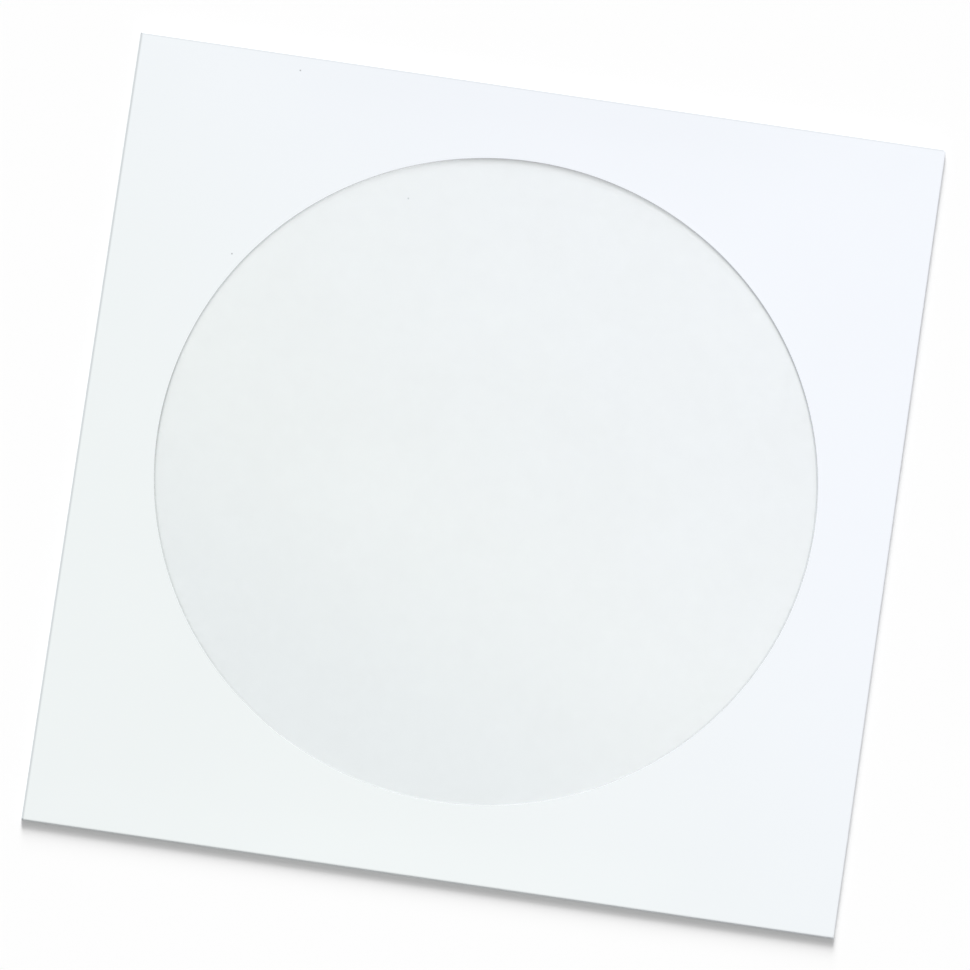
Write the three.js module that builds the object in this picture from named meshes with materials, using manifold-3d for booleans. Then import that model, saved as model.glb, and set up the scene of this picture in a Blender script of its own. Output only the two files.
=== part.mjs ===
// A square window envelope of the size that takes a compact disc. It is one die-cut paper sheet, folded
// at four creases and glued at its two side seams, with a clear film behind its round window.
// It lies face up on z = 0, its outline centred on the origin, with +Y towards the fold of its flap.
// All lengths are in millimetres.

import * as THREE from "three";
import { mergeVertices } from "three/addons/utils/BufferGeometryUtils.js";
import Module from "manifold-3d";

const wasm = await Module();
wasm.setup();

const { degToRad, lerp, smoothstep } = THREE.MathUtils;

// The face: a round window, and the paper left around it up to the folds.
const WINDOW_DIAMETER = 101.6;
const FRAME_SIDE = 11.7;
const FRAME_TOP = 11.3;
const FRAME_BOTTOM = 12.1;

// The materials, and the line of glue between two layers of paper.
const PAPER = 0.1;
const FILM = 0.04;
const GLUE = 0.03;

// The seam flaps turn in from the two sides and are glued on the outside of the back panel.
const SEAM_WIDTH = 14;
const SEAM_MITRE_DEG = 30;
const GLUE_WIDTH = 7;
const GLUE_FROM_FOLD = 3.5;
const GLUE_FROM_ENDS = 2;

// The back panel turns up from the bottom. It is a little narrower than the face.
const BACK_INSET = 0.9;
const BACK_INSET_LENGTH = 4;
const THROAT_DROP = 3.2;

// The closing flap turns down from the top and isn't glued.
const FLAP_DEPTH = 36;
const FLAP_TAPER_DEG = 13;
const FLAP_CORNER = 9;

// The film overlaps the paper around the window by this much.
const FILM_LAP = 5.5;

// How the empty envelope lies: the pocket stays open by POCKET at least, a layer that lies over the edge
// of another comes down beyond it over LAY_DOWN, and the face, which its folds hold up, sinks likewise
// where no seam flap lies below it. A higher power keeps the face up only closer to the folds.
const POCKET = 0.06;
const LAY_DOWN = 30;
const SINK_POWER = 4;

// The number of straight steps that stand for each curve.
const SIDE_STEPS = 28;
const FRAME_STEPS = 7;
const FOLD_STEPS = 6;
const PANEL_STEPS = 12;
const SEAM_STEPS = 3;
const TAPER_STEPS = 4;
const CORNER_STEPS = 5;
const FILM_STEPS = 22;
const GLUE_STEPS = 14;

// Sizes that follow from those above. Levels are heights of a layer's middle surface.
const WIDTH = WINDOW_DIAMETER + 2 * FRAME_SIDE;
const HEIGHT = WINDOW_DIAMETER + FRAME_TOP + FRAME_BOTTOM;
const LOWEST_LEVEL = PAPER / 2;
const LAYER_STEP = PAPER + GLUE;
const FACE_LEVEL = LOWEST_LEVEL + 2 * LAYER_STEP + PAPER / 2 + POCKET + FILM + GLUE + PAPER / 2;
const FOLD_RADIUS = (FACE_LEVEL - LOWEST_LEVEL) / 2;
const FACE_HALF_WIDTH = WIDTH / 2 - FOLD_RADIUS - PAPER / 2;
const FACE_HALF_HEIGHT = HEIGHT / 2 - FOLD_RADIUS - PAPER / 2;
const WINDOW_Y = (FRAME_BOTTOM - FRAME_TOP) / 2;
const FLAP_TAPER = Math.tan(degToRad(FLAP_TAPER_DEG));
const SEAM_MITRE = Math.tan(degToRad(SEAM_MITRE_DEG));

const UP = new THREE.Vector3(0, 0, 1);
const DOWN = new THREE.Vector3(0, 0, -1);

// A sheet without thickness: points of its middle surface, the way that its outer face looks at each
// point, and the four-sided patches between the points.
class Sheet {
  constructor() {
    this.points = [];
    this.facings = [];
    this.patches = [];
  }

  addPoint(x, y, z, facing) {
    this.points.push(new THREE.Vector3(x, y, z));
    this.facings.push(facing);
    return this.points.length - 1;
  }

  joinRows(row, nextRow) {
    for (let i = 0; i + 1 < row.length; i++) {
      this.patches.push([row[i], nextRow[i], nextRow[i + 1], row[i + 1]]);
    }
  }

  // The closed solid of the sheet: both faces, and a wall along each cut edge.
  thicken(thickness) {
    const count = this.points.length;
    const faceAt = (offset) => this.points.map((p, i) => p.clone().addScaledVector(this.facings[i], offset));
    const corners = [...faceAt(thickness / 2), ...faceAt(-thickness / 2)];
    const triangles = [];
    const cutEdges = new Map();
    for (const [a, b, c, d] of this.patches) {
      triangles.push(a, b, c, a, c, d);
      triangles.push(c + count, b + count, a + count, d + count, c + count, a + count);
      for (const [from, to] of [[a, b], [b, c], [c, d], [d, a]]) {
        const isShared = cutEdges.delete(`${to},${from}`);
        if (!isShared) cutEdges.set(`${from},${to}`, [from, to]);
      }
    }
    for (const [from, to] of cutEdges.values()) {
      triangles.push(to, from, from + count, to, from + count, to + count);
    }
    const geometry = new THREE.BufferGeometry().setFromPoints(corners);
    return geometry.setIndex(triangles);
  }
}

// 1 on top of a layer below, falling to 0 where the paper has come down beyond that layer's edge.
function liftedBy(distanceInsideEdge) {
  return smoothstep(distanceInsideEdge, -LAY_DOWN, 0);
}

function flapHalfWidth(distanceFromFold) {
  return FACE_HALF_WIDTH - distanceFromFold * FLAP_TAPER;
}

function insideFlap(x, y) {
  const distanceFromFold = FACE_HALF_HEIGHT - y;
  return Math.min(FLAP_DEPTH - distanceFromFold, flapHalfWidth(distanceFromFold) - Math.abs(x));
}

function seamHalfLength(distanceFromFold) {
  return FACE_HALF_HEIGHT - distanceFromFold * SEAM_MITRE;
}

function insideSeam(x, y) {
  const distanceFromFold = FACE_HALF_WIDTH - Math.abs(x);
  return Math.min(SEAM_WIDTH - distanceFromFold, seamHalfLength(distanceFromFold) - Math.abs(y));
}

function flapLevel() {
  return LOWEST_LEVEL;
}

function seamLevel(x, y) {
  return LOWEST_LEVEL + LAYER_STEP * liftedBy(insideFlap(x, y));
}

function backLevel(x, y) {
  return seamLevel(x, y) + LAYER_STEP * liftedBy(insideSeam(x, y));
}

// Between the folds the face sinks by the thickness of the seam flap that isn't below it.
function faceLevel(x, y) {
  const clearOfSeam = 1 - liftedBy(insideSeam(x, y));
  const clearOfFolds = 1 - Math.abs(y / FACE_HALF_HEIGHT) ** SINK_POWER;
  return FACE_LEVEL - LAYER_STEP * clearOfSeam * clearOfFolds;
}

// The four sides of the face, anticlockwise from the right one. Each runs from corner to corner in the
// direction of its along vector, and its fold bulges out in the direction of its outward vector.
const SIDES = [0, 1, 2, 3].map((quarter) => {
  const outward = new THREE.Vector3(1, 0, 0).applyAxisAngle(UP, (quarter * Math.PI) / 2).round();
  const foldDistance = outward.x === 0 ? FACE_HALF_HEIGHT : FACE_HALF_WIDTH;
  return { quarter, outward, along: UP.clone().cross(outward), foldDistance };
});
const [RIGHT, TOP, LEFT, BOTTOM] = SIDES;

// The face panel: rings of points that pass from the round window to the square of the four folds.
// Returns the point numbers along each fold, in the order of SIDES.
function addFace(sheet) {
  const ringAt = (share) => {
    const ring = SIDES.flatMap(({ quarter, outward, along }) =>
      Array.from({ length: SIDE_STEPS }, (_, step) => {
        const t = (2 * step) / SIDE_STEPS - 1;
        const angle = ((quarter + t / 2) * Math.PI) / 2;
        const rimX = (WINDOW_DIAMETER / 2) * Math.cos(angle);
        const rimY = (WINDOW_DIAMETER / 2) * Math.sin(angle) + WINDOW_Y;
        const foldX = (outward.x + t * along.x) * FACE_HALF_WIDTH;
        const foldY = (outward.y + t * along.y) * FACE_HALF_HEIGHT;
        const x = lerp(rimX, foldX, share);
        const y = lerp(rimY, foldY, share);
        return sheet.addPoint(x, y, faceLevel(x, y), UP);
      }),
    );
    return [...ring, ring[0]];
  };
  const rings = Array.from({ length: FRAME_STEPS + 1 }, (_, step) => ringAt(step / FRAME_STEPS));
  rings.slice(1).forEach((ring, i) => sheet.joinRows(rings[i], ring));
  return SIDES.map(({ quarter }) => rings.at(-1).slice(quarter * SIDE_STEPS, (quarter + 1) * SIDE_STEPS + 1));
}

// A half-turn fold along one side of the face, down to the level of the panel that it carries.
function addFold(sheet, foldLine, side, levelAt) {
  let row = foldLine;
  for (let step = 1; step <= FOLD_STEPS; step++) {
    const angle = (Math.PI * step) / FOLD_STEPS;
    const fallen = (1 - Math.cos(angle)) / 2;
    const facing = side.outward.clone().multiplyScalar(Math.sin(angle)).addScaledVector(UP, Math.cos(angle));
    const nextRow = foldLine.map((number) => {
      const start = sheet.points[number];
      const { x, y } = start.clone().addScaledVector(side.outward, FOLD_RADIUS * Math.sin(angle));
      return sheet.addPoint(x, y, lerp(start.z, levelAt(start.x, start.y), fallen), facing);
    });
    sheet.joinRows(row, nextRow);
    row = nextRow;
  }
  return row;
}

// A panel that runs back under the face from the end of a fold. Each row of its outline has a distance
// from the fold and a half length along it.
function addPanel(sheet, foldEnd, side, levelAt, outline) {
  let row = foldEnd;
  for (const { distance, halfLength } of outline) {
    const nextRow = foldEnd.map((_, column) => {
      const t = (2 * column) / SIDE_STEPS - 1;
      const place = side.outward.clone().multiplyScalar(side.foldDistance - distance);
      place.addScaledVector(side.along, t * halfLength);
      return sheet.addPoint(place.x, place.y, levelAt(place.x, place.y), DOWN);
    });
    sheet.joinRows(row, nextRow);
    row = nextRow;
  }
}

// The back panel narrows just past its fold, so that it fits between the side folds.
function backOutline() {
  const depth = 2 * FACE_HALF_HEIGHT - THROAT_DROP;
  const rowAt = (distance) => ({ distance, halfLength: FACE_HALF_WIDTH - BACK_INSET });
  const rest = Array.from({ length: PANEL_STEPS }, (_, step) =>
    rowAt(lerp(BACK_INSET_LENGTH, depth, (step + 1) / PANEL_STEPS)),
  );
  return [rowAt(BACK_INSET_LENGTH), ...rest];
}

function seamOutline() {
  return Array.from({ length: SEAM_STEPS }, (_, step) => {
    const distance = (SEAM_WIDTH * (step + 1)) / SEAM_STEPS;
    return { distance, halfLength: seamHalfLength(distance) };
  });
}

// The closing flap tapers to its free edge, where an arc that touches both edges rounds each corner.
function flapOutline() {
  const taper = degToRad(FLAP_TAPER_DEG);
  const arcDistance = FLAP_DEPTH - FLAP_CORNER;
  const arcHalfLength = flapHalfWidth(arcDistance) - FLAP_CORNER / Math.cos(taper);
  const arcStart = arcDistance + FLAP_CORNER * Math.sin(taper);
  const tapered = Array.from({ length: TAPER_STEPS - 1 }, (_, step) => {
    const distance = (arcStart * (step + 1)) / TAPER_STEPS;
    return { distance, halfLength: flapHalfWidth(distance) };
  });
  const rounded = Array.from({ length: CORNER_STEPS + 1 }, (_, step) => {
    const angle = lerp(taper, Math.PI / 2, step / CORNER_STEPS);
    return {
      distance: arcDistance + FLAP_CORNER * Math.sin(angle),
      halfLength: arcHalfLength + FLAP_CORNER * Math.cos(angle),
    };
  });
  return [...tapered, ...rounded];
}

// A line of glue between a seam flap and the back panel. It soaks in to the middle of both papers.
function glueLine(side) {
  const sheet = new Sheet();
  const innerX = FACE_HALF_WIDTH - GLUE_FROM_FOLD - GLUE_WIDTH;
  const halfLength = FACE_HALF_HEIGHT - Math.max(THROAT_DROP, SEAM_WIDTH * SEAM_MITRE) - GLUE_FROM_ENDS;
  const rows = [innerX, innerX + GLUE_WIDTH].map((distance) =>
    Array.from({ length: GLUE_STEPS + 1 }, (_, step) => {
      const x = side.outward.x * distance;
      const y = side.outward.x * lerp(-halfLength, halfLength, step / GLUE_STEPS);
      return sheet.addPoint(x, y, backLevel(x, y) - LAYER_STEP / 2, UP);
    }),
  );
  sheet.joinRows(...rows);
  return sheet.thicken(LAYER_STEP);
}

function toSolid(geometry) {
  const merged = mergeVertices(new THREE.BufferGeometry().copy(geometry), 1e-4);
  return new wasm.Manifold(
    new wasm.Mesh({
      numProp: 3,
      vertProperties: merged.getAttribute("position").array,
      triVerts: new Uint32Array(merged.getIndex().array),
    }),
  );
}

function toGeometry(solid) {
  const mesh = solid.getMesh();
  const geometry = new THREE.BufferGeometry();
  geometry.setAttribute("position", new THREE.BufferAttribute(mesh.vertProperties, mesh.numProp));
  return geometry.setIndex(new THREE.BufferAttribute(mesh.triVerts, 1));
}

function foldedPaper() {
  const sheet = new Sheet();
  const foldLines = addFace(sheet);
  const panels = [
    { side: BOTTOM, levelAt: backLevel, outline: backOutline() },
    { side: LEFT, levelAt: seamLevel, outline: seamOutline() },
    { side: RIGHT, levelAt: seamLevel, outline: seamOutline() },
    { side: TOP, levelAt: flapLevel, outline: flapOutline() },
  ];
  for (const { side, levelAt, outline } of panels) {
    const foldEnd = addFold(sheet, foldLines[side.quarter], side, levelAt);
    addPanel(sheet, foldEnd, side, levelAt, outline);
  }
  const glued = [LEFT, RIGHT].reduce(
    (solid, side) => solid.add(toSolid(glueLine(side))),
    toSolid(sheet.thicken(PAPER)),
  );
  return toGeometry(glued);
}

// The film lies flat against the inside of the face and sinks with it across the window.
function windowFilm() {
  const sheet = new Sheet();
  const half = WINDOW_DIAMETER / 2 + FILM_LAP;
  const across = (step) => lerp(-half, half, step / FILM_STEPS);
  const rows = Array.from({ length: FILM_STEPS + 1 }, (_, column) =>
    Array.from({ length: FILM_STEPS + 1 }, (_, step) => {
      const x = across(column);
      const y = across(step) + WINDOW_Y;
      return sheet.addPoint(x, y, faceLevel(x, y) - PAPER / 2 - GLUE - FILM / 2, UP);
    }),
  );
  rows.slice(1).forEach((row, i) => sheet.joinRows(rows[i], row));
  return sheet.thicken(FILM);
}

function namedMesh(name, geometry, material) {
  geometry.computeVertexNormals();
  const mesh = new THREE.Mesh(geometry, material);
  mesh.name = name;
  return mesh;
}

const whitePaper = new THREE.MeshStandardMaterial({ color: 0xf4f7fa, roughness: 0.85, metalness: 0 });
const clearFilm = new THREE.MeshStandardMaterial({
  color: 0xf2f6f6,
  roughness: 0.15,
  metalness: 0,
  transparent: true,
  opacity: 0.2,
});

const envelope = new THREE.Group();
envelope.name = "window_envelope";
envelope.add(namedMesh("folded_paper", foldedPaper(), whitePaper));
envelope.add(namedMesh("window_film", windowFilm(), clearFilm));

export default envelope;
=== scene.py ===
import math

import bpy
from mathutils import Matrix, Vector, noise


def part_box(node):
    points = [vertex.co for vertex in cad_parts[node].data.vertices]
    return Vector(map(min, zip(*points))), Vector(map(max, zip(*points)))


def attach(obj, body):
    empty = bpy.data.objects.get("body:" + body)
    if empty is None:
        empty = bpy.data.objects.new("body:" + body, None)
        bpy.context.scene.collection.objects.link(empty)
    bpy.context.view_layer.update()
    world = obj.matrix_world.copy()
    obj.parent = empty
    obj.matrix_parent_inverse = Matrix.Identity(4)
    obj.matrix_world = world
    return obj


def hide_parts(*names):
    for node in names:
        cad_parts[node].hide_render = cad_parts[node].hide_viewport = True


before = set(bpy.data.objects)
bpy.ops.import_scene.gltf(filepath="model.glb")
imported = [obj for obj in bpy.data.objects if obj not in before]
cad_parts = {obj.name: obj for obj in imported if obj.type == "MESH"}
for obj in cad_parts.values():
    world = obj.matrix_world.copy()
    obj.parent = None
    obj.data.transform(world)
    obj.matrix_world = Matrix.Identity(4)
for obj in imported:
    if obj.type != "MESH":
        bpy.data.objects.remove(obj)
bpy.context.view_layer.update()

# The envelope lies face up. All lengths are in metres, and MM turns a size in millimetres into them.
MM = 0.001
UP = Vector((0, 0, 1))

# The thickness of the paper, the film and the glue between two layers.
PAPER = 0.1 * MM
FILM = 0.04 * MM
GLUE = 0.03 * MM
LAYER_STEP = PAPER + GLUE

# Levels of the paper's middle surface and the square of the four fold lines, from the frame's own box.
sheet_low, sheet_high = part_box("folded_paper")
film_low, film_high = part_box("window_film")
LOWEST_LEVEL = sheet_low[2] + PAPER / 2
FACE_LEVEL = sheet_high[2] - PAPER / 2
FOLD_RADIUS = (FACE_LEVEL - LOWEST_LEVEL) / 2
FACE_HALF = sheet_high[0] - PAPER / 2 - FOLD_RADIUS

# The round window and the die-cut outline of the panels behind the face.
WINDOW_RADIUS = 50.8 * MM
WINDOW_Y = 0.4 * MM
SEAM_WIDTH = 14 * MM
SEAM_MITRE = math.tan(math.radians(30))
BACK_INSET = 0.9 * MM
BACK_INSET_LENGTH = 4 * MM
THROAT_DROP = 3.2 * MM
FLAP_DEPTH = 36 * MM
FLAP_TAPER = math.radians(13)
FLAP_CORNER = 9 * MM

# How the layers lie on each other, as the frame's solids do. A higher power keeps the face up only
# closer to the folds.
LAY_DOWN = 30 * MM
SINK_POWER = 6

# The sheet never lies quite flat: soft waves of this depth and length run through the face, and they
# fade out over a share of its half width.
WAVE_DEPTH = 0.02 * MM
WAVE_LENGTH = 22 * MM
WAVE_FADE = 0.12

# The film is glued on close behind the face.
FILM_GAP = 0.008 * MM

# A pressed fold is squarer than a half circle: 1 leaves it round.
CREASE_POWER = 0.3

# How far the end of a fold reaches into the sheet's corner, as a share of its bulge. The right corner
# at the top is worn round.
CORNER_REACH = 0.8
WORN_REACH = -0.3

# How much the cut edges of the paper and the film are blunted.
PAPER_BLUNT = 0.012 * MM
FILM_BLUNT = 0.006 * MM
CUT_ANGLE = math.radians(60)
SMOOTH_ANGLE = math.radians(35)

# Steps of the mesh.
SIDE_STEPS = 96
RIM_RINGS = (0.04 * MM, 0.08 * MM, 0.12 * MM, 0.3 * MM, 0.8 * MM, 2 * MM)
FACE_RINGS = 14
FOLD_RINGS = (0.4 * MM, 0.05 * MM)
FOLD_STEPS = 12
PANEL_STEP = 1.5 * MM
CORNER_STEPS = 14
FILM_STEPS = 110
NEAR = 0.001 * MM


# Heights of the layers


def smoothstep(value, start, end):
    share = min(max((value - start) / (end - start), 0), 1)
    return share * share * (3 - 2 * share)


def lifted_by(distance_inside_edge):
    """1 on top of a layer below, falling to 0 where the paper has come down beyond that layer's edge."""
    return smoothstep(distance_inside_edge, -LAY_DOWN, 0)


def flap_half_width(distance):
    return FACE_HALF - distance * math.tan(FLAP_TAPER)


def inside_flap(x, y):
    distance = FACE_HALF - y
    return min(FLAP_DEPTH - distance, flap_half_width(distance) - abs(x))


def seam_half_length(distance):
    return FACE_HALF - distance * SEAM_MITRE


def inside_seam(x, y):
    distance = FACE_HALF - abs(x)
    return min(SEAM_WIDTH - distance, seam_half_length(distance) - abs(y))


def flap_level(x, y):
    return LOWEST_LEVEL


def seam_level(x, y):
    return LOWEST_LEVEL + LAYER_STEP * lifted_by(inside_flap(x, y))


def back_level(x, y):
    return seam_level(x, y) + LAYER_STEP * lifted_by(inside_seam(x, y))


def wave(x, y):
    """How far the soft waves of the face lie below its level, which the folds hold up at the outline."""
    held = 1 - max(abs(x), abs(y)) / FACE_HALF
    place = Vector((x, y, 0)) / WAVE_LENGTH
    return WAVE_DEPTH * smoothstep(held, 0, WAVE_FADE) * (0.5 + 0.5 * noise.noise(place))


def face_level(x, y):
    """Between the folds the face sinks by the thickness of the seam flap that isn't below it."""
    clear_of_seam = 1 - lifted_by(inside_seam(x, y))
    clear_of_folds = 1 - min(abs(y) / FACE_HALF, 1) ** SINK_POWER
    return FACE_LEVEL - LAYER_STEP * clear_of_seam * clear_of_folds - wave(x, y)


# Mesh work


def deselect_everything():
    for thing in list(bpy.context.selected_objects):
        thing.select_set(False)


def select_edges(piece, wanted):
    """Selects the edges whose two ends answer to wanted, and leaves the piece in edit mode."""
    bpy.ops.object.mode_set(mode="EDIT")
    bpy.ops.mesh.select_mode(type="EDGE")
    bpy.ops.mesh.select_all(action="DESELECT")
    bpy.ops.object.mode_set(mode="OBJECT")
    points = piece.data.vertices
    for edge in piece.data.edges:
        edge.select = all(wanted(points[number].co) for number in edge.vertices)
    bpy.ops.object.mode_set(mode="EDIT")


def thicken(piece, thickness):
    """Turns a bare surface into a closed sheet."""
    bpy.ops.object.mode_set(mode="EDIT")
    bpy.ops.mesh.select_all(action="SELECT")
    bpy.ops.mesh.remove_doubles(threshold=NEAR / 10)
    bpy.ops.mesh.normals_make_consistent(inside=False)
    bpy.ops.object.mode_set(mode="OBJECT")
    wall = piece.modifiers.new("wall", "SOLIDIFY")
    wall.thickness = thickness
    wall.offset = 0
    bpy.ops.object.modifier_apply(modifier=wall.name)


def blunt_edges(piece, width):
    """Takes the sharpness off the cut edges of a sheet, and shades the rest of it smooth."""
    blunt = piece.modifiers.new("blunt_edges", "BEVEL")
    blunt.width = width
    blunt.segments = 1
    blunt.limit_method = "ANGLE"
    blunt.angle_limit = CUT_ANGLE
    bpy.ops.object.modifier_apply(modifier=blunt.name)
    bpy.ops.object.shade_smooth_by_angle(angle=SMOOTH_ANGLE)


# The folded sheet


def outward_of(side):
    """The way that a side's fold bulges: side 0 is the right one, and they run anticlockwise."""
    return Vector((round(math.cos(side * math.pi / 2)), round(math.sin(side * math.pi / 2)), 0))


def cut_face():
    """The face panel, from the rim of its round window out to the square of the fold lines."""
    centre = Vector((0, WINDOW_Y, FACE_LEVEL))
    bpy.ops.mesh.primitive_circle_add(vertices=4 * SIDE_STEPS, radius=WINDOW_RADIUS, location=centre)
    piece = bpy.context.object
    piece.name = "folded_sheet"
    bpy.ops.object.transform_apply(location=True)

    # Narrow rings that hold the rim flat, wide ones out towards a circle as wide as the square, and
    # two narrow ones that keep the face flat up to its folds
    holding = WINDOW_RADIUS + RIM_RINGS[-1]
    wide_step = (FACE_HALF - holding) / FACE_RINGS
    wide = [holding + wide_step * (step + 1) for step in range(FACE_RINGS - 1)]
    narrow = [FACE_HALF - ring for ring in FOLD_RINGS]
    radii = [WINDOW_RADIUS + ring for ring in RIM_RINGS] + wide + narrow + [FACE_HALF]
    bpy.ops.object.mode_set(mode="EDIT")
    bpy.ops.mesh.select_all(action="SELECT")
    last_radius = WINDOW_RADIUS
    for radius in radii:
        grown = radius / last_radius
        bpy.ops.mesh.extrude_edges_move()
        bpy.ops.transform.resize(value=(grown, grown, 1), center_override=centre)
        last_radius = radius
    bpy.ops.object.mode_set(mode="OBJECT")

    # The wide rings pass from the circle to the square of the fold lines
    for point in piece.data.vertices:
        reach = point.co - centre
        share = (reach.length - holding) / (FACE_HALF - holding)
        if share > 0:
            on_circle = centre + reach.normalized() * holding
            point.co = on_circle.lerp(square_point(math.atan2(reach.y, reach.x)), share)
    return piece


def square_point(angle):
    """The point of the fold lines' square that an angle round the window leads to."""
    side = round(angle / (math.pi / 2))
    aside = (angle - side * math.pi / 2) / (math.pi / 4)
    outward = outward_of(side)
    return (outward + aside * UP.cross(outward)) * FACE_HALF + UP * FACE_LEVEL


def fold_back(piece, outward):
    """Rolls one side of the face through half a turn. The end of the fold stays selected."""
    def on_fold_line(place):
        return place.dot(outward) > FACE_HALF - NEAR and place.z > FACE_LEVEL - NEAR

    select_edges(piece, on_fold_line)
    fold_axis = outward * FACE_HALF + UP * (FACE_LEVEL - FOLD_RADIUS)
    bpy.ops.mesh.spin(steps=FOLD_STEPS, angle=-math.pi, center=fold_axis, axis=UP.cross(outward))


def extend_panel(outward, outline):
    """Extrudes the selected edge in rows back under the face. outline gives each row's distance from the
    fold and its half length along it."""
    last_distance = 0
    last_half_length = FACE_HALF
    for distance, half_length in outline:
        step = -outward * (distance - last_distance)
        narrowed = half_length / last_half_length
        scale = (1, narrowed, 1) if outward.x else (narrowed, 1, 1)
        bpy.ops.mesh.extrude_edges_move(TRANSFORM_OT_translate={"value": step})
        bpy.ops.transform.resize(value=scale, center_override=(0, 0, 0))
        last_distance = distance
        last_half_length = half_length
    bpy.ops.object.mode_set(mode="OBJECT")


def rows_between(start, end):
    """Distances from start to end in steps of about PANEL_STEP, without start itself."""
    count = max(round((end - start) / PANEL_STEP), 1)
    return [start + (end - start) * (step + 1) / count for step in range(count)]


def seam_outline():
    return [(distance, seam_half_length(distance)) for distance in rows_between(0, SEAM_WIDTH)]


def back_outline():
    """The back panel narrows just past its fold, so that it fits between the side folds."""
    narrowing = [
        (distance, FACE_HALF - BACK_INSET * distance / BACK_INSET_LENGTH)
        for distance in rows_between(0, BACK_INSET_LENGTH)
    ]
    straight = rows_between(BACK_INSET_LENGTH, 2 * FACE_HALF - THROAT_DROP)
    return narrowing + [(distance, FACE_HALF - BACK_INSET) for distance in straight]


def flap_outline():
    """The closing flap tapers to its free edge, and an arc rounds each of its corners."""
    arc_distance = FLAP_DEPTH - FLAP_CORNER
    arc_half_length = flap_half_width(arc_distance) - FLAP_CORNER / math.cos(FLAP_TAPER)
    arc_start = arc_distance + FLAP_CORNER * math.sin(FLAP_TAPER)
    tapered = [(distance, flap_half_width(distance)) for distance in rows_between(0, arc_start)]
    rounded = []
    for step in range(1, CORNER_STEPS + 1):
        angle = FLAP_TAPER + (math.pi / 2 - FLAP_TAPER) * step / CORNER_STEPS
        distance = arc_distance + FLAP_CORNER * math.sin(angle)
        rounded.append((distance, arc_half_length + FLAP_CORNER * math.cos(angle)))
    return tapered + rounded


def settle(point, panel_level):
    """Presses a point of a round fold into a crease, and lowers it onto the layers below it."""
    x = min(max(point.co.x, -FACE_HALF), FACE_HALF)
    y = min(max(point.co.y, -FACE_HALF), FACE_HALF)
    height = min(max((point.co.z - FACE_LEVEL) / FOLD_RADIUS + 1, -1), 1)
    pressed = math.copysign(abs(height) ** CREASE_POWER, height)
    bulge = Vector((point.co.x - x, point.co.y - y))
    if bulge.length > NEAR:
        bulge *= (bulge.length / FOLD_RADIUS) ** (CREASE_POWER - 1)
    if min(abs(x), abs(y)) > FACE_HALF - NEAR:
        reach = WORN_REACH if min(x, y) > 0 else CORNER_REACH
        bulge += reach * Vector((math.copysign(bulge.y, x), math.copysign(bulge.x, y)))
    middle = (face_level(x, y) + panel_level(x, y)) / 2
    half_height = (face_level(x, y) - panel_level(x, y)) / 2
    point.co = (x + bulge.x, y + bulge.y, middle + pressed * half_height)


def make_folded_sheet():
    deselect_everything()
    piece = cut_face()
    face_end = len(piece.data.vertices)
    panels = (
        (seam_outline(), seam_level),
        (flap_outline(), flap_level),
        (seam_outline(), seam_level),
        (back_outline(), back_level),
    )
    starts = []
    for side, (outline, _) in enumerate(panels):
        starts.append(len(piece.data.vertices))
        fold_back(piece, outward_of(side))
        extend_panel(outward_of(side), outline)

    # Each fold and panel settles onto what lies below it
    ends = starts[1:] + [len(piece.data.vertices)]
    for start, end, (_, panel_level) in zip(starts, ends, panels):
        for point in piece.data.vertices[start:end]:
            settle(point, panel_level)
    for point in piece.data.vertices[:face_end]:
        point.co.z = face_level(point.co.x, point.co.y)
    thicken(piece, PAPER)
    blunt_edges(piece, PAPER_BLUNT)
    return piece


# The window film


def make_window_pane():
    """The clear film behind the window. It lies close below the face and follows it."""
    deselect_everything()
    size = Vector((film_high[0] - film_low[0], film_high[1] - film_low[1], 0))
    centre = ((film_high[0] + film_low[0]) / 2, (film_high[1] + film_low[1]) / 2, 0)
    bpy.ops.mesh.primitive_grid_add(x_subdivisions=FILM_STEPS, y_subdivisions=FILM_STEPS, size=1)
    piece = bpy.context.object
    piece.name = "window_pane"
    bpy.ops.object.mode_set(mode="EDIT")
    bpy.ops.transform.resize(value=(size.x, size.y, 1))
    bpy.ops.transform.translate(value=centre)
    bpy.ops.object.mode_set(mode="OBJECT")
    below_face = PAPER / 2 + FILM_GAP + FILM / 2
    for point in piece.data.vertices:
        point.co.z = face_level(point.co.x, point.co.y) - below_face
    thicken(piece, FILM)
    blunt_edges(piece, FILM_BLUNT)
    return piece


# Materials


def add_node(tree, kind, settings=(), **inputs):
    """Adds a node. settings are its own options, and inputs are values or sockets for its inputs, with
    an underscore where their names have a space."""
    node = tree.nodes.new(kind)
    for name, value in settings:
        setattr(node, name, value)
    for name, value in inputs.items():
        socket = node.inputs[name.replace("_", " ")]
        if isinstance(value, bpy.types.NodeSocket):
            tree.links.new(value, socket)
        else:
            socket.default_value = value
    return node


def calculate(tree, operation, *values, clamp=False):
    node = tree.nodes.new("ShaderNodeMath")
    node.operation = operation
    node.use_clamp = clamp
    for socket, value in zip(node.inputs, values):
        if isinstance(value, bpy.types.NodeSocket):
            tree.links.new(value, socket)
        else:
            socket.default_value = value
    return node.outputs[0]


def ramp_between(tree, value, start, end):
    """0 at start, 1 at end, with a soft step between."""
    softly = [("interpolation_type", "SMOOTHSTEP")]
    node = add_node(tree, "ShaderNodeMapRange", softly, Value=value, From_Min=start, From_Max=end)
    return node.outputs["Result"]


def mix_colours(tree, share, first, second):
    node = tree.nodes.new("ShaderNodeMix")
    node.data_type = "RGBA"
    for name, value in (("Factor_Float", share), ("A_Color", first), ("B_Color", second)):
        socket = next(entry for entry in node.inputs if entry.identifier == name)
        if isinstance(value, bpy.types.NodeSocket):
            tree.links.new(value, socket)
        else:
            socket.default_value = value
    return next(entry for entry in node.outputs if entry.identifier == "Result_Color")


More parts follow.
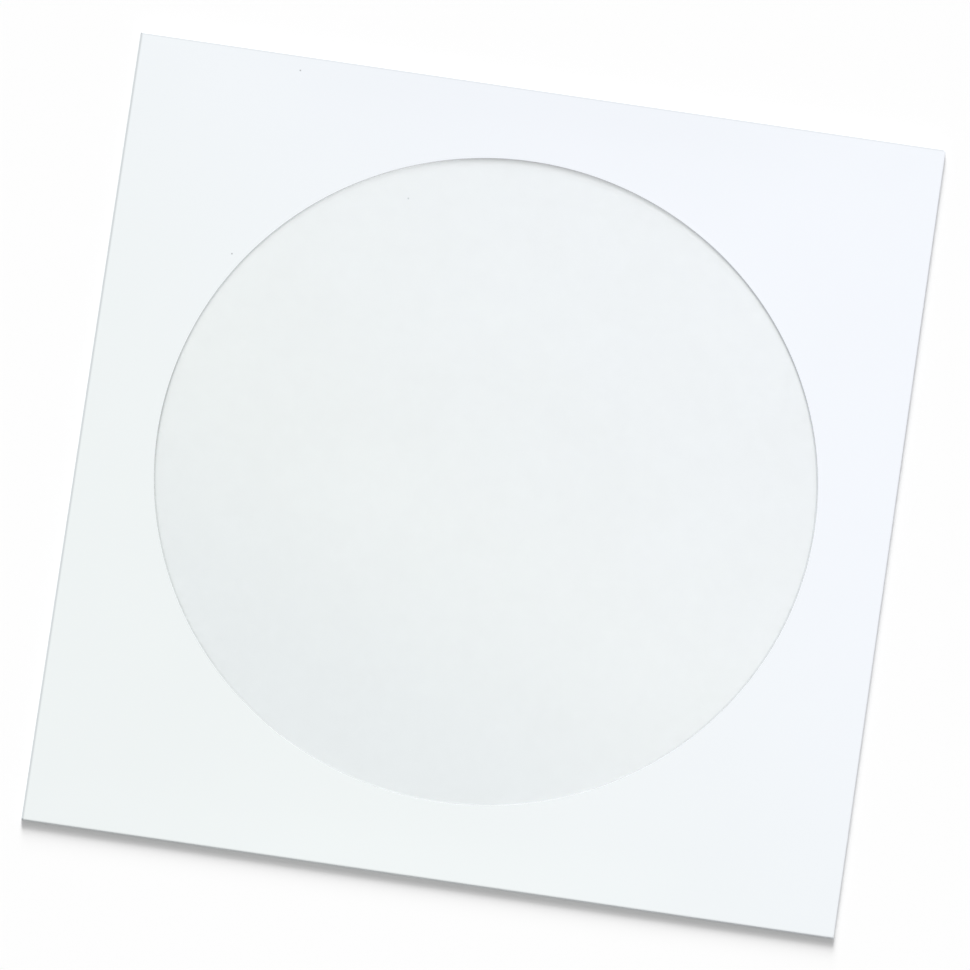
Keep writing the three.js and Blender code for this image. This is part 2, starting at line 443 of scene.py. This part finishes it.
def linear(red, green, blue):
    """A colour given as it looks on a screen, from 0 to 255, as the numbers that light works with."""
    def one(level):
        share = level / 255
        return share / 12.92 if share <= 0.04045 else ((share + 0.055) / 1.055) ** 2.4
    return (one(red), one(green), one(blue), 1)


def new_material(name):
    material = bpy.data.materials.new(name)
    material.use_nodes = True
    tree = material.node_tree
    tree.nodes.clear()
    output = tree.nodes.new("ShaderNodeOutputMaterial")
    shader = tree.nodes.new("ShaderNodeBsdfPrincipled")
    tree.links.new(shader.outputs[0], output.inputs["Surface"])
    return material, tree, shader


def cloudiness_group():
    """Soft clouds of unevenness, as in the pulp of a paper or the haze on a film: a value about 0.5."""
    group = bpy.data.node_groups.new("cloudiness", "ShaderNodeTree")
    group.interface.new_socket("Size", in_out="INPUT", socket_type="NodeSocketFloat")
    group.interface.new_socket("Spread", in_out="INPUT", socket_type="NodeSocketFloat")
    group.interface.new_socket("Clouds", in_out="OUTPUT", socket_type="NodeSocketFloat")
    entry = group.nodes.new("NodeGroupInput")
    leave = group.nodes.new("NodeGroupOutput")
    place = add_node(group, "ShaderNodeTexCoord").outputs["Object"]
    scale = calculate(group, "DIVIDE", 1.0, entry.outputs["Size"])
    clouds = add_node(group, "ShaderNodeTexNoise", Vector=place, Scale=scale, Detail=3.0, Roughness=0.5)
    centred = calculate(group, "SUBTRACT", clouds.outputs[0], 0.5)
    spread = calculate(group, "MULTIPLY", centred, entry.outputs["Spread"])
    group.links.new(calculate(group, "ADD", spread, 0.5, clamp=True), leave.inputs[0])
    return group


def add_clouds(tree, group, size, spread):
    node = tree.nodes.new("ShaderNodeGroup")
    node.node_tree = group
    node.inputs["Size"].default_value = size
    node.inputs["Spread"].default_value = spread
    return node.outputs["Clouds"]


# Painted light and shade: the paper's tone runs from a green grey white at its lower left to a blue
# white at its upper right, as light falling off across the sheet.
SHADED_LOWER_LEFT_TONE = linear(240.3, 244.9, 244.7)
LIT_UPPER_RIGHT_TONE = linear(246.2, 249.3, 255)
PAINTED_LIGHT_REACH = 0.6 * FACE_HALF

# Clouds of greyer pulp, and the fibres on the paper's surface.
PULP_TONE = linear(225, 230, 232)
PULP_SHARE = 0.1
PULP_SIZE = 9 * MM
PULP_SPREAD = 0.5
FIBRE_SIZE = 0.35 * MM
FIBRE_HEIGHT = 0.01 * MM
FIBRE_STRENGTH = 0.25
PAPER_ROUGHNESS = 0.8

# A thin line of painted shade along the left fold, and its share at the top fold.
CREASE_SHADE_TONE = linear(208, 213, 215)
CREASE_WIDTH = 0.45 * MM
TOP_CREASE = 0.7

# One layer of the thin paper lets about a sixth of the light through: this much is kept back by each
# of its two sides. Beside the window's rim more comes through, most of it at the upper left.
PAPER_SHADOW = 0.58
RIM_SHADOW = 0.3
FAINT_SHADOW = 0.1
FAINT_ANGLE = math.radians(137)
FAINT_START = 0.75
FAINT_END = 0.95
RIM_WIDTH = 1.2 * MM

# Specks of dust, on the paper and on the film.
PAPER_SPECKS = ((-37.4 * MM, 60.1 * MM), (-43.6 * MM, 29.9 * MM))
FILM_SPECKS = ((-18.1 * MM, 42.6 * MM),)
SPECK_RADIUS = 0.2 * MM
SPECK_TONE = linear(165, 168, 170)


def mix_values(tree, share, first, second):
    return add_node(tree, "ShaderNodeMix", Factor=share, A=first, B=second).outputs["Result"]


def lighter_shadow(tree, seen, shadow):
    """An alpha of seen for the eye and of shadow for the light that passes through."""
    is_shadow = tree.nodes.new("ShaderNodeLightPath").outputs["Is Shadow Ray"]
    return mix_values(tree, is_shadow, seen, shadow)


def distance_to(tree, across, along, spot):
    """How far a place on the sheet is from a spot, seen from above."""
    place = add_node(tree, "ShaderNodeCombineXYZ", X=across, Y=along).outputs[0]
    node = add_node(tree, "ShaderNodeVectorMath", [("operation", "DISTANCE")])
    tree.links.new(place, node.inputs[0])
    node.inputs[1].default_value = (spot[0], spot[1], 0)
    return node.outputs["Value"]


def add_specks(tree, across, along, spots, tone):
    for spot in spots:
        share = ramp_between(tree, distance_to(tree, across, along, spot), SPECK_RADIUS, 0)
        tone = mix_colours(tree, share, tone, SPECK_TONE)
    return tone


def reach_towards(tree, across, along, angle):
    """1 at the window's rim in the direction of an angle, 0 at its centre and -1 opposite."""
    sideways = calculate(tree, "MULTIPLY", across, math.cos(angle) / WINDOW_RADIUS)
    return calculate(tree, "MULTIPLY_ADD", along, math.sin(angle) / WINDOW_RADIUS, sideways)


def white_paper(clouds):
    material, tree, shader = new_material("white_paper")
    place = add_node(tree, "ShaderNodeTexCoord").outputs["Object"]
    across, along, _ = add_node(tree, "ShaderNodeSeparateXYZ", Vector=place).outputs

    # The slant of painted light and shade across the sheet
    painted_light_slant = calculate(tree, "MULTIPLY", calculate(tree, "ADD", across, along), 0.5)
    share = ramp_between(tree, painted_light_slant, -PAINTED_LIGHT_REACH, PAINTED_LIGHT_REACH)
    tone = mix_colours(tree, share, SHADED_LOWER_LEFT_TONE, LIT_UPPER_RIGHT_TONE)

    # Soft clouds of the pulp
    pulp = add_clouds(tree, clouds, PULP_SIZE, PULP_SPREAD)
    tone = mix_colours(tree, pulp, mix_colours(tree, PULP_SHARE, tone, PULP_TONE), tone)

    # Painted shade: a thin greyer line along the outline at the left and top folds
    crease_start = sheet_high[0] - CREASE_WIDTH
    crease_end = sheet_high[0] - CREASE_WIDTH / 3
    left_crease = ramp_between(tree, across, -crease_start, -crease_end)
    top_crease = ramp_between(tree, along, crease_start, crease_end)
    top_crease = calculate(tree, "MULTIPLY", top_crease, TOP_CREASE)
    crease_shade = calculate(tree, "MAXIMUM", left_crease, top_crease)
    tone = mix_colours(tree, crease_shade, tone, CREASE_SHADE_TONE)

    # Fibres
    grain = 1 / FIBRE_SIZE
    fibres = add_node(tree, "ShaderNodeTexNoise", Vector=place, Scale=grain, Detail=4.0, Roughness=0.6)
    bump = add_node(tree, "ShaderNodeBump", Strength=FIBRE_STRENGTH, Distance=FIBRE_HEIGHT)
    tree.links.new(fibres.outputs[0], bump.inputs["Height"])

    # The shadow that the rim of the window throws on the film
    from_centre = distance_to(tree, across, along, (0, WINDOW_Y))
    faint = ramp_between(tree, reach_towards(tree, across, along, FAINT_ANGLE), FAINT_START, FAINT_END)
    at_rim = mix_values(tree, faint, RIM_SHADOW, FAINT_SHADOW)
    off_rim = ramp_between(tree, from_centre, WINDOW_RADIUS + RIM_WIDTH / 2, WINDOW_RADIUS + RIM_WIDTH)
    shadow = mix_values(tree, off_rim, at_rim, PAPER_SHADOW)

    tone = add_specks(tree, across, along, PAPER_SPECKS, tone)
    tree.links.new(tone, shader.inputs["Base Color"])
    tree.links.new(bump.outputs[0], shader.inputs["Normal"])
    tree.links.new(lighter_shadow(tree, 1.0, shadow), shader.inputs["Alpha"])
    shader.inputs["Roughness"].default_value = PAPER_ROUGHNESS
    shader.inputs["Specular IOR Level"].default_value = 0
    return material


# The film is a faint grey veil over the paper behind it. Painted shade makes it duller towards the lower
# left of the window.
FILM_TONE = (0.747, 0.757, 0.751, 1)
SHADED_FILM_TONE = (0.712, 0.725, 0.732, 1)
FILM_SHADE_ANGLE = math.radians(243)
FILM_SHADE_START = 0.1
FILM_SHADE_END = 0.95
FILM_COVER = 0.32
FILM_HAZE = 0.09
HAZE_SIZE = 14 * MM
FILM_IOR = 1.49
FILM_GLOSS = 0.03
FILM_ROUGHNESS = 0.2
FILM_SHADOW = 0.02

# A thin line of painted shade on the film along the rim, most of it at the left and the right.
RIM_SHADE_TONE = (0.58, 0.6, 0.6, 1)
RIM_SHADE_WIDTH = 0.4 * MM
RIM_SHADE_START = 0.35 * WINDOW_RADIUS
RIM_SHADE_END = 0.9 * WINDOW_RADIUS


def clear_film(clouds):
    material, tree, shader = new_material("clear_film")
    place = add_node(tree, "ShaderNodeTexCoord").outputs["Object"]
    across, along, _ = add_node(tree, "ShaderNodeSeparateXYZ", Vector=place).outputs
    # Painted shade, darker towards the lower left of the window
    film_shade = ramp_between(tree, reach_towards(tree, across, along, FILM_SHADE_ANGLE), FILM_SHADE_START, FILM_SHADE_END)
    tone = mix_colours(tree, film_shade, FILM_TONE, SHADED_FILM_TONE)

    # The painted shade line along the rim, and the speck
    from_centre = distance_to(tree, across, along, (0, WINDOW_Y))
    rim_shade_line = ramp_between(tree, from_centre, WINDOW_RADIUS - RIM_SHADE_WIDTH, WINDOW_RADIUS - RIM_SHADE_WIDTH / 3)
    aside = ramp_between(tree, calculate(tree, "ABSOLUTE", across), RIM_SHADE_START, RIM_SHADE_END)
    tone = mix_colours(tree, calculate(tree, "MULTIPLY", rim_shade_line, aside), tone, RIM_SHADE_TONE)
    tone = add_specks(tree, across, along, FILM_SPECKS, tone)
    tree.links.new(tone, shader.inputs["Base Color"])

    # Light passes the film almost freely, and the eye sees its haze and its gloss
    haze = add_clouds(tree, clouds, HAZE_SIZE, 1)
    cover = calculate(tree, "MULTIPLY_ADD", haze, FILM_HAZE, FILM_COVER)
    gloss = add_node(tree, "ShaderNodeFresnel", IOR=FILM_IOR).outputs[0]
    seen = calculate(tree, "ADD", cover, gloss, clamp=True)
    tree.links.new(lighter_shadow(tree, seen, FILM_SHADOW), shader.inputs["Alpha"])
    shader.inputs["Roughness"].default_value = FILM_ROUGHNESS
    shader.inputs["Specular IOR Level"].default_value = FILM_GLOSS
    shader.inputs["IOR"].default_value = FILM_IOR
    return material


def dress(piece, material, node):
    piece.data.materials.append(material)
    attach(piece, "root")
    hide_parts(node)


# The room


# Each lamp: its name, its share of the light on the floor, its height above the floor and its width.
LAMPS = (
    ("low_lamp", 0.5, math.radians(16.5), math.radians(22)),
    ("high_lamp", 0.1, math.radians(34), math.radians(16)),
)
LAMP_TURN = math.radians(9)
ROOM_SHARE = 1 - sum(share for _, share, _, _ in LAMPS)
FLOOR_SIZE = 6
FLOOR_TONE = (0.99, 0.99, 0.99, 1)


def lay_floor():
    deselect_everything()
    bpy.ops.mesh.primitive_plane_add(size=FLOOR_SIZE, location=(0, 0, 0))
    floor = bpy.context.object
    floor.name = "pale_floor"
    material, _, shader = new_material("pale_floor")
    shader.inputs["Base Color"].default_value = FLOOR_TONE
    shader.inputs["Roughness"].default_value = 1
    shader.inputs["Specular IOR Level"].default_value = 0
    floor.data.materials.append(material)


def hang_lamp(name, share, elevation, width):
    """A broad lamp behind the sheet's top edge, far enough off to light all of it alike."""
    lamp_data = bpy.data.lights.new(name, "SUN")
    lamp_data.energy = math.pi * share / math.sin(elevation)
    lamp_data.angle = width
    lamp = bpy.data.objects.new(name, lamp_data)
    level = Vector((-math.sin(LAMP_TURN), math.cos(LAMP_TURN), 0))
    towards = level * math.cos(elevation) + UP * math.sin(elevation)
    lamp.rotation_euler = towards.to_track_quat("Z", "Y").to_euler()
    bpy.context.scene.collection.objects.link(lamp)


def light_room():
    """The lamps, and an even pale room around the sheet."""
    for name, share, elevation, width in LAMPS:
        hang_lamp(name, share, elevation, width)

    world = bpy.data.worlds.new("pale_room")
    world.use_nodes = True
    tree = world.node_tree
    tree.nodes.clear()
    path = tree.nodes.new("ShaderNodeLightPath").outputs
    seen = calculate(tree, "MAXIMUM", path["Is Camera Ray"], path["Is Glossy Ray"])
    seen = calculate(tree, "MAXIMUM", seen, path["Is Transmission Ray"])
    strength = calculate(tree, "MULTIPLY_ADD", seen, 1 - ROOM_SHARE, ROOM_SHARE)
    background = add_node(tree, "ShaderNodeBackground", Color=(1, 1, 1, 1), Strength=strength)
    output = tree.nodes.new("ShaderNodeOutputWorld")
    tree.links.new(background.outputs[0], output.inputs["Surface"])
    bpy.context.scene.world = world


# The camera looks down from far away, turned a little about its own line of sight.
CAMERA_ELEVATION = math.radians(77.1)
CAMERA_AZIMUTH = math.radians(0.81)
CAMERA_ROLL = math.radians(7.54)
CAMERA_DISTANCE = 3.059
CAMERA_LENS = 742.3
CAMERA_ASIDE = -0.093 * MM
CAMERA_ABOVE = -0.17 * MM


def set_camera():
    camera_data = bpy.data.cameras.new("camera")
    camera_data.sensor_width = 36
    camera_data.lens = CAMERA_LENS
    camera_data.clip_end = 100
    camera = bpy.data.objects.new("camera", camera_data)
    back = Vector((
        math.sin(CAMERA_AZIMUTH) * math.cos(CAMERA_ELEVATION),
        -math.cos(CAMERA_AZIMUTH) * math.cos(CAMERA_ELEVATION),
        math.sin(CAMERA_ELEVATION),
    ))
    level_right = Vector((math.cos(CAMERA_AZIMUTH), math.sin(CAMERA_AZIMUTH), 0))
    level_up = back.cross(level_right)
    right = level_right * math.cos(CAMERA_ROLL) + level_up * math.sin(CAMERA_ROLL)
    up = back.cross(right)
    turn = Matrix((right, up, back)).transposed()
    place = back * CAMERA_DISTANCE + right * CAMERA_ASIDE + up * CAMERA_ABOVE
    camera.matrix_world = Matrix.Translation(place) @ turn.to_4x4()
    bpy.context.scene.collection.objects.link(camera)
    bpy.context.scene.camera = camera


set_camera()
folded_sheet = make_folded_sheet()
window_pane = make_window_pane()
pulp_clouds = cloudiness_group()
dress(folded_sheet, white_paper(pulp_clouds), "folded_paper")
dress(window_pane, clear_film(pulp_clouds), "window_film")
lay_floor()
light_room()
bpy.context.scene.view_settings.view_transform = "Standard"
